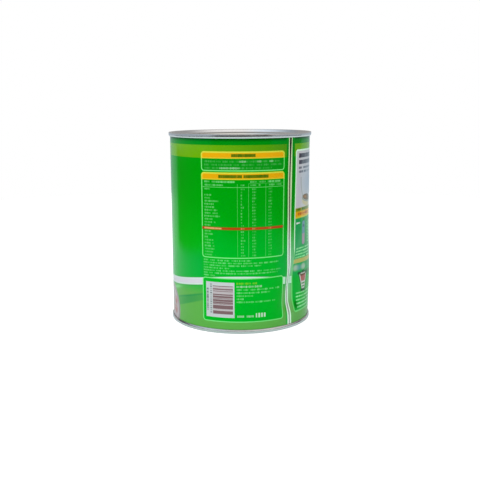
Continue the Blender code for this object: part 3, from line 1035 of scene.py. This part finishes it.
def lay_seal(sheet):
    """A round amber seal with a plain ear of grain, and a few short rows under it."""
    s, z = SEAL_PLACE
    disc = sheet.ellipse(s, z, SEAL_RADIUS, SEAL_RADIUS)
    sheet.fill(disc - 1.2, DARK_GREEN)
    sheet.fill(disc, AMBER)
    sheet.outline(disc + 1.1, 0.5, AMBER_EDGE)
    lay_ear(sheet, s, z, OLIVE)
    sheet.small_print(s - 9.5, (s + 9.0, s + 6.0, s + 8.0), 72.0, 2.5, 1.3, 90.0)


# Print of the hidden front, in mm from the front's own middle line

BANNER_HALF_WIDTH, BANNER_LOW, BANNER_HIGH, BANNER_CORNER = 45.0, 91.0, 112.0, 5.0
BANNER_ARCH = 0.004
EAR_FINENESS, EAR_LEAN = 1.25, 0.45
MUG_LOW, MUG_HIGH, MUG_FOOT_HALF_WIDTH, MUG_FLARE = 20.0, 60.0, 13.5, 0.075


def lay_banner(front):
    """A plain arched banner with three ears of grain between two lines, and a row of blocks under it."""
    arched = Print(front.tree, front.s, front.z + front.s * front.s * BANNER_ARCH, front.colour)
    sides = (-BANNER_HALF_WIDTH, BANNER_HALF_WIDTH)
    banner = arched.box(*sides, BANNER_LOW, BANNER_HIGH, BANNER_CORNER)
    front.fill(banner - 1.6, DARK_GREEN)
    front.fill(banner, AMBER)
    front.outline(banner + 1.6, 0.7, AMBER_EDGE)
    raised = arched.z - (BANNER_LOW + BANNER_HIGH) / 2
    for side in (-1, 0, 1):
        across = arched.s * EAR_FINENESS - raised * side * EAR_LEAN
        leaning = Print(front.tree, across, raised * EAR_FINENESS, front.colour)
        lay_ear(leaning, side * 9.0, -1.2, OLIVE)
        front.colour = leaning.colour
    both_sides = Print(front.tree, abs(front.s), raised, front.colour)
    both_sides.fill(both_sides.box(18.4, 38.4, -0.45, 0.45), OLIVE)
    both_sides.fill(both_sides.ellipse(16.6, 0.0, 1.1, 1.1), OLIVE)
    front.colour = both_sides.colour
    front.heading(-22.0, 22.0, 84.0, 86.4, 16.0, PALE, 0.9, 1.8)


def lay_mug(front):
    """A mug of malt drink with a green band, three wisps of steam and a soft shadow."""
    for place in (-7.0, 1.0, 9.0):
        wisp = abs(front.s - place - (front.z * 0.42 + place).sine() * 1.5) - 0.8
        front.lay(cover(wisp, 1.2) * ridge((front.z - 71.5) / 3.6), PALE, 0.6)
    front.lay(front.glow(0.0, 17.6, 17.0, 2.4), DEEP_INK_AND_SHADOW_GREEN, 0.6)
    front.fill(abs(front.ellipse(19.5, 44.0, 9.0, 10.5)) - 1.9, MUG_HANDLE)
    slope = abs(front.s) - MUG_FOOT_HALF_WIDTH - (front.z - MUG_LOW) * MUG_FLARE
    mug = slope.most(abs(front.z - (MUG_LOW + MUG_HIGH) / 2) - (MUG_HIGH - MUG_LOW) / 2)
    front.fill(mug.least(front.ellipse(0.0, 20.5, MUG_FOOT_HALF_WIDTH, 3.0)), CREAM)
    front.lay(cover(mug) * smooth_step(front.s, -2.0, 17.0), MUG_SHADE, 0.8)
    band = abs(front.z - 41.0 + front.s * front.s * 0.01) - 4.5
    front.lay(cover(mug) * cover(band), MUG_BAND, 0.85)
    front.fill(front.ellipse(0.0, MUG_HIGH, 16.6, 4.0), CREAM)
    front.fill(front.ellipse(0.0, MUG_HIGH, 15.2, 3.2), COCOA)
    front.lay(front.glow(-4.0, 59.6, 6.0, 1.3), COCOA_LIGHT, 0.8)


def lay_malt_grains(front):
    """Nine round grains, strewn by turns to the right and the left of the mug."""
    for index in range(9):
        side = -1 if index % 2 else 1
        s = side * (27 + 5.2 * (index % 5) + index)
        z = 17 + 4.6 * ((index * 2) % 5)
        front.fill(front.ellipse(s, z, 2.9, 2.3), COCOA)
        front.lay(front.glow(s - 0.8, z + 0.7, 1.1, 0.8), COCOA_LIGHT, 0.8)


def lay_front(sheet):
    """The front's banner, mug and malt grains, on a lighter glow of the field."""
    front = Print(sheet.tree, sheet.s - sheet.s.math("SIGN") * (ROUND / 2), sheet.z, sheet.colour)
    front.lay(front.glow(0.0, 74.0, 34.0, 26.0), LIME, 0.8)
    lay_banner(front)
    lay_mug(front)
    lay_malt_grains(front)
    sheet.colour = front.colour


# The side weld's pale strip, and the bare metal beside the bead

STRIP_HALF_WIDTH, STRIP_SPREAD = 1.45, 0.35
STRIP_WIDE_FROM_TO, STRIP_CREAM_FROM_TO = (84.0, 56.0), (50.0, 90.0)
BARE_HALF_WIDTH, BARE_EDGE = 0.7, 0.2
# Heights where the bare metal turns brown and near black, partly heat tint and partly painted shade
BARE_BROWNED_AND_SHADED_FROM_TO, BARE_BURNT_AND_SHADED_FROM_TO = (60.0, 96.0), (108.0, 126.0)
BURNT_AND_SHADED_SPREAD, BURNT_AND_SHADED_SPREAD_FROM_TO = 0.22, (121.0, 128.0)


def lay_weld_strip(sheet):
    """The strip along the weld that the print leaves pale, wider below and where the bead wanders."""
    half_width = STRIP_HALF_WIDTH + smooth_step(sheet.z, *STRIP_WIDE_FROM_TO) * STRIP_SPREAD
    wander = ridge((sheet.z - WANDER_PLACE / MM) / (1.5 * WANDER_REACH / MM)) * STRIP_SPREAD
    strip = cover(abs(sheet.s - WELD_MM + wander) - half_width - wander, 0.3)
    sheet.lay(strip, STRIP_WHITE)
    sheet.lay(strip * smooth_step(sheet.z, *STRIP_CREAM_FROM_TO), STRIP_CREAM)


def lay_bare_metal(sheet, up):
    """The metal that the print leaves bare beside the bead: brown and near black upwards, partly heat tint
    and partly painted shade, and where it is.
    """
    half_width = smooth_step(sheet.z, *BURNT_AND_SHADED_SPREAD_FROM_TO) * BURNT_AND_SHADED_SPREAD + BARE_HALF_WIDTH
    bare = cover(abs(sheet.s - weld_bead_arc(up) / MM) - half_width, BARE_EDGE)
    # Painted shade over the heat tint: the bare metal darkens upwards, for the dim room it mirrors and the
    # top rim's shadow
    brown_and_shade = smooth_step(sheet.z, *BARE_BROWNED_AND_SHADED_FROM_TO)
    burnt_and_shade = smooth_step(sheet.z, *BARE_BURNT_AND_SHADED_FROM_TO)
    steel = mixed(sheet.tree, brown_and_shade, BARE_STEEL, BROWNED_AND_SHADED_STEEL)
    sheet.lay(bare, mixed(sheet.tree, burnt_and_shade, steel, BURNT_AND_SHADED_STEEL))
    return bare


def overprint(sheet, lay):
    """Lays one part of the print in a node group of its own, which keeps each tree small."""
    inputs = (("s", "Float"), ("z", "Float"), ("Ground", "Color"))
    group, given = new_group(lay.__name__, "ShaderNodeTree", inputs, ("Print", "Color"))
    part = Print(group, *given.values())
    lay(part)
    give(part.colour)
    values = {"s": sheet.s, "z": sheet.z, "Ground": sheet.colour}
    sheet.colour = output(sheet.tree, "ShaderNodeGroup", {"node_tree": group}, values)


WALL_PRINT = (
    lay_field_shade_and_reflection,
    lay_wave,
    lay_top_bands,
    lay_weld_shade_and_highlight,
    lay_contents_panel,
    lay_values_panel,
    lay_values_rows,
    lay_notes,
    lay_bar_panel,
    lay_bars,
    lay_side_panel,
    lay_side_insets,
    lay_left_picture,
    lay_seal,
    lay_front,
    lay_weld_strip,
)


# Finishes. A noise is given by its scale, its detail and, where it isn't plain, its roughness.

INK_SPECKS, INK_SPECK_SHARE = (60.0, 3.0), 0.09
VARNISH_TINT, VARNISH_ROUGHNESS = (0.0, 1.0, 0.5, 1.0), 0.11
VARNISH_HAZE, VARNISH_HAZE_SHARE = (35.0, 4.0, 0.6), 0.1
VARNISH_PEEL, VARNISH_PEEL_DEPTH = (900.0, 2.0), 0.00002
BARE_METALLIC, BARE_ROUGHNESS = 0.9, 0.12

SEAM_ROUGHNESS, LID_ROUGHNESS = 0.19, 0.3
PLATE_SMUDGES, PLATE_SMUDGE_SHARE, PLATE_SMUDGE_TONE = (55.0, 4.0, 0.6), 0.16, 0.86
PLATE_RINGS, PLATE_RINGS_SHARE, PLATE_RINGS_STRETCH = (420.0, 2.0), 0.08, 9.0
PLATE_SPANGLE_SCALE, PLATE_SPANGLE_SHARE = 700.0, 0.12
METAL_GRAIN_DEPTH = 0.00001

BEAD_STAINS, BEAD_STAIN_SHARE = (240.0, 3.0, 0.65), 0.2
BEAD_METALLIC, BEAD_SPECULAR, BEAD_ROUGHNESS = 0.5, 0.2, 0.34


def new_finish(name):
    material = bpy.data.materials.new(name)
    material.use_nodes = True
    tree = material.node_tree
    return material, tree, tree.nodes["Principled BSDF"]


def feed(node, name, signal):
    """Links a signal to the node's input with this name."""
    signal.tree.links.new(signal.socket, node.inputs[name])


def object_place(tree):
    return output(tree, "ShaderNodeTexCoord", socket="Object")


def set_bump(shader, height, distance, strength):
    values = {"Strength": strength, "Distance": distance, "Height": height}
    feed(shader, "Normal", output(height.tree, "ShaderNodeBump", None, values))


def printed_finish():
    """The print under a glossy varnish, in ink of uneven density, and the bare metal along the weld."""
    material, tree, shader = new_finish("printed_wall")
    across, up, _ = separate(output(tree, "ShaderNodeUVMap", {"uv_map": "Print"}))
    sheet = Print(tree, across / MM, up / MM, (*FIELD_GREEN, 1.0))
    for lay in WALL_PRINT:
        overprint(sheet, lay)
    place = object_place(tree)
    sheet.lay(noise_of(tree, place, *INK_SPECKS) * INK_SPECK_SHARE, SPECK_GREEN)
    bare = lay_bare_metal(sheet, up)
    haze = noise_of(tree, place, *VARNISH_HAZE)
    feed(shader, "Base Color", sheet.colour)
    feed(shader, "Metallic", bare * BARE_METALLIC)
    feed(shader, "Roughness", haze * VARNISH_HAZE_SHARE + bare * BARE_ROUGHNESS + VARNISH_ROUGHNESS)
    shader.inputs["Specular Tint"].default_value = VARNISH_TINT
    set_bump(shader, noise_of(tree, place, *VARNISH_PEEL), VARNISH_PEEL_DEPTH, 0.35)
    return material


def plate_finish(name, tone, roughness):
    """Bare tinplate: fine turned lines round the axis, faint smudges, and the plate's spangle."""
    material, tree, shader = new_finish(name)
    place = object_place(tree)
    x, y, z = separate(place)
    radius = (x * x + y * y).math("SQRT")
    turned = combine(tree, radius * PLATE_RINGS_STRETCH, z * PLATE_RINGS_STRETCH, 0.0)
    rings = noise_of(tree, turned, *PLATE_RINGS)
    smudge = noise_of(tree, place, *PLATE_SMUDGES)
    values = {"Vector": place, "Scale": PLATE_SPANGLE_SCALE}
    spangle = output(tree, "ShaderNodeTexVoronoi", None, values) * PLATE_SPANGLE_SHARE
    smudged = mixed(tree, smudge, tuple(PLATE_SMUDGE_TONE * share for share in tone), tone)
    uneven = smudge * PLATE_SMUDGE_SHARE + rings * PLATE_RINGS_SHARE
    mean_unevenness = (PLATE_SMUDGE_SHARE + PLATE_RINGS_SHARE) / 2
    feed(shader, "Base Color", mixed(tree, spangle, smudged, (1.0, 1.0, 1.0)))
    feed(shader, "Roughness", uneven + (roughness - mean_unevenness))
    shader.inputs["Metallic"].default_value = 1.0
    set_bump(shader, rings, METAL_GRAIN_DEPTH, 0.3)
    return material


def weld_finish():
    """The bead's metal: grey and stained, brown from half its height up and near black at its top, partly
    heat tint and partly painted shade.
    """
    material, tree, shader = new_finish("weld_bead")
    place = object_place(tree)
    stain = noise_of(tree, place, *BEAD_STAINS)
    _, _, height = separate(place)
    # Painted shade over the heat tint: the bead darkens upwards
    brown_and_shade = mixed(tree, smooth_step(height, *WELD_BROWNED_AND_SHADED_FROM_TO), BEAD_GREY, BEAD_BROWN_AND_SHADE)
    stained = mixed(tree, stain * BEAD_STAIN_SHARE, brown_and_shade, BEAD_STAIN)
    burnt_and_shade = smooth_step(height, *WELD_BURNT_AND_SHADED_FROM_TO)
    feed(shader, "Base Color", mixed(tree, burnt_and_shade, stained, BEAD_BURNT_AND_SHADE))
    feed(shader, "Roughness", stain * BEAD_STAIN_SHARE + BEAD_ROUGHNESS)
    shader.inputs["Metallic"].default_value = BEAD_METALLIC
    shader.inputs["Specular IOR Level"].default_value = BEAD_SPECULAR
    set_bump(shader, stain, METAL_GRAIN_DEPTH, 0.4)
    return material


# The pieces

TURNED = turned_tree()
DENTED = dented_tree()
WELD = weld_tree()


def ride(piece, slot, *nodes):
    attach(piece, "root")
    if nodes:
        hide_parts(*nodes)


def build_tin():
    print_finish = printed_finish()
    seam_plate = plate_finish("seam_tinplate", SEAM_TINPLATE, SEAM_ROUGHNESS)
    lid_plate = plate_finish("lid_tinplate", LID_TINPLATE, LID_ROUGHNESS)
    knocks = {"Dent depth": DENT_DEPTH, "Sway depth": SWAY_DEPTH}

    dent_step = (DENTED, {**knocks, "Finish": print_finish})
    wall = turned_piece("printed_wall", wall_outline(), WALL_STEPS_ROUND, print_finish, [dent_step])
    ride(wall, "printed_wall", "can_body")

    ring = turned_piece("seamed_ring", from_top(ring_outline()), END_STEPS_ROUND, seam_plate)
    ride(ring, "tinplate", "top_ring")
    lid = turned_piece("pressed_lid", from_top(lid_outline()), END_STEPS_ROUND, lid_plate)
    ride(lid, "lid_plate", "lever_lid")
    base = turned_piece("seamed_base", base_outline(), END_STEPS_ROUND, seam_plate)
    ride(base, "tinplate", "bottom_end")

    bead = {"Half width": WELD_HALF_WIDTH, "Thickness": WELD_THICKNESS, "Nugget pitch": WELD_NUGGET_PITCH}
    weld = grown("weld_bead", [(0.0, 0.0, 0.0)], [(WELD, {**knocks, **bead, "Finish": weld_finish()})])
    ride(weld, "tinplate")


# Camera, floor and light

CAMERA_DISTANCE = 0.51037
CAMERA_HEIGHT = 0.15275
CAMERA_PITCH = math.radians(10.81)
CAMERA_YAW = math.radians(-0.032)
CAMERA_ROLL = math.radians(-0.272)
CAMERA_LENS = 53.17
SENSOR_WIDTH = 36.0

TABLE_RADIUS = 0.75
TABLE_SIDES = 96
TABLE_WHITE = 0.84
TABLE_MOTTLE, TABLE_MOTTLE_SHARE, TABLE_MOTTLE_TONE = (8.0, 3.0), 0.03, 0.9
TABLE_GLOW = 0.6
MIRRORED_TABLE = (0.76, 0.86, 0.89)
BACKDROP_WHITE = 1.0
SURROUND_LIGHT = 0.79
MIRRORED_LIGHT = 0.58
MIRRORED_TINT = (0.84, 0.97, 1.1)
CEILING_FROM_TO, CEILING_AHEAD_FROM_TO, CEILING_DIMNESS = (0.5, 0.9), (-0.2, 0.2), 0.45
SKYLINE_FROM_TO, SKYLINE_DIMNESS = (-0.03, 0.03), 0.28
WINDOW_FROM_TO, WINDOW_AHEAD_FROM_TO, WINDOW_GLOW = (0.07, 0.2), (-0.4, 1.0), 1.3
WARM_ROOM, COOL_ROOM = (1.03, 1.0, 0.98), (0.88, 1.0, 1.12)
COOL_LEFT_FROM_TO, COOL_BEHIND_FROM_TO = (0.0, 0.8), (0.1, 0.7)
SHADE_LEFT, SHADE_RIGHT, SHADE_FRONT, SHADE_BACK = -0.29, 0.36, -0.38, 0.15
SHADE_CORNER, SHADE_CORNER_STEPS = 0.08, 8
SHADE_HEIGHT, SHADE_SIDE_HEIGHT, SHADE_LIFT = 0.17, 0.108, 0.001
SHADE_GREY = 0.07

# Name, place, turn in degrees, size and power of each softbox
SOFTBOXES = (
    ("left_softbox", (-0.62, -1.05, 0.72), (62, 0, -30), (1.3, 1.1), 9.0),
    ("right_softbox", (0.6, -1.1, 0.75), (61, 0, 28), (1.0, 1.0), 2.0),
)


def place_camera():
    ahead = Matrix.Rotation(-CAMERA_YAW, 3, "Z") @ Matrix.Rotation(-CAMERA_PITCH, 3, "X")
    turn = ahead @ Matrix.Rotation(math.pi / 2, 3, "X") @ Matrix.Rotation(CAMERA_ROLL, 3, "Z")
    place = Matrix.Translation((0.0, -CAMERA_DISTANCE, CAMERA_HEIGHT))
    data = bpy.data.cameras.new("photo_camera")
    data.sensor_width = SENSOR_WIDTH
    data.lens = CAMERA_LENS
    camera = add_object("photo_camera", data)
    camera.matrix_world = place @ turn.to_4x4()
    bpy.context.scene.camera = camera


def stage_mesh(name, points, faces, material):
    mesh = bpy.data.meshes.new(name)
    mesh.from_pydata(points, [], faces)
    mesh.materials.append(material)
    piece = add_object(name, mesh)
    return piece


def grey(tone):
    return (tone, tone, tone)


def lay_floor():
    """A round white table top, a little cooler where the tin mirrors it."""
    material, tree, shader = new_finish("pale_floor")
    mottle = noise_of(tree, object_place(tree), *TABLE_MOTTLE) * TABLE_MOTTLE_SHARE
    white = mixed(tree, mottle, grey(TABLE_WHITE), grey(TABLE_WHITE * TABLE_MOTTLE_TONE))
    mirrored = output(tree, "ShaderNodeLightPath", socket="Is Glossy Ray")
    feed(shader, "Base Color", mixed(tree, mirrored, white, MIRRORED_TABLE))
    seen = output(tree, "ShaderNodeLightPath", socket="Is Camera Ray")
    feed(shader, "Emission Color", mixed(tree, seen, grey(0.0), grey(TABLE_GLOW)))
    shader.inputs["Emission Strength"].default_value = 1.0
    shader.inputs["Roughness"].default_value = 0.8
    shader.inputs["Specular IOR Level"].default_value = 0.0
    turns = [math.tau * side / TABLE_SIDES for side in range(TABLE_SIDES)]
    edge = [(TABLE_RADIUS * math.cos(turn), TABLE_RADIUS * math.sin(turn), 0.0) for turn in turns]
    stage_mesh("floor", edge, [tuple(range(TABLE_SIDES))], material)


def shade_path():
    """The shade's line on the floor: up the left side, round the front and back along the right side."""
    corner = []
    for step in range(SHADE_CORNER_STEPS + 1):
        angle = math.pi / 2 * step / SHADE_CORNER_STEPS
        corner.append((SHADE_CORNER * (1 - math.sin(angle)), SHADE_CORNER * (1 - math.cos(angle))))
    left = [(SHADE_LEFT + x, SHADE_FRONT + y) for x, y in reversed(corner)]
    right = [(SHADE_RIGHT - x, SHADE_FRONT + y) for x, y in corner]
    return [(SHADE_LEFT, SHADE_BACK), *left, *right, (SHADE_RIGHT, SHADE_BACK)]


def stand_shade():
    """A low dark shade round the front and the sides, as the dim room in front of the white table."""
    material, _, shader = new_finish("front_shade")
    shader.inputs["Base Color"].default_value = (*grey(SHADE_GREY), 1.0)
    shader.inputs["Specular IOR Level"].default_value = 0.0
    path = shade_path()
    points = []
    for x, y in path:
        ahead = 1 - min((y - SHADE_FRONT) / SHADE_CORNER, 1)
        height = SHADE_SIDE_HEIGHT + (SHADE_HEIGHT - SHADE_SIDE_HEIGHT) * ahead
        points += [(x, y, SHADE_LIFT), (x, y, height)]
    faces = [(2 * n, 2 * n + 2, 2 * n + 3, 2 * n + 1) for n in range(len(path) - 1)]
    shade = stage_mesh("front_shade", points, faces, material)
    shade.visible_camera = False
    shade.visible_diffuse = False
    shade.visible_transmission = False
    shade.visible_shadow = False


def add_area_light(name, place, turn, size, power):
    data = bpy.data.lights.new(name, "AREA")
    data.shape = "RECTANGLE"
    data.size, data.size_y = size
    data.energy = power
    light = add_object(name, data)
    light.location = place
    light.rotation_euler = [math.radians(angle) for angle in turn]
    light.visible_glossy = False


def light_scene():
    """A white surround, dimmer and cooler where the tin mirrors it, and two softboxes in front."""
    world = bpy.data.worlds.new("soft_surround")
    world.use_nodes = True
    tree = world.node_tree
    seen = output(tree, "ShaderNodeLightPath", socket="Is Camera Ray")
    mirrored = output(tree, "ShaderNodeLightPath", socket="Is Glossy Ray")
    across, behind, up = separate(output(tree, "ShaderNodeTexCoord", socket="Generated"))
    ceiling = smooth_step(up, *CEILING_FROM_TO) * smooth_step(-behind, *CEILING_AHEAD_FROM_TO)
    ahead = smooth_step(-behind, *WINDOW_AHEAD_FROM_TO)
    window = smooth_step(up, *WINDOW_FROM_TO) * ahead * (1 - ceiling) * WINDOW_GLOW
    skyline = smooth_step(up, *SKYLINE_FROM_TO)
    room = (1 + window - skyline * SKYLINE_DIMNESS - ceiling * CEILING_DIMNESS) * MIRRORED_LIGHT
    strength = seen * (BACKDROP_WHITE - SURROUND_LIGHT) + mirrored * (room - SURROUND_LIGHT)
    cool = smooth_step(-across, *COOL_LEFT_FROM_TO) * (1 - smooth_step(behind, *COOL_BEHIND_FROM_TO))
    tone = mixed(tree, skyline, MIRRORED_TINT, mixed(tree, cool, WARM_ROOM, COOL_ROOM))
    background = tree.nodes["Background"]
    feed(background, "Color", mixed(tree, mirrored, grey(1.0), tone))
    feed(background, "Strength", strength + SURROUND_LIGHT)
    bpy.context.scene.world = world
    for softbox in SOFTBOXES:
        add_area_light(*softbox)
    bpy.context.scene.view_settings.view_transform = "Standard"


build_tin()
place_camera()
lay_floor()
stand_shade()
light_scene()
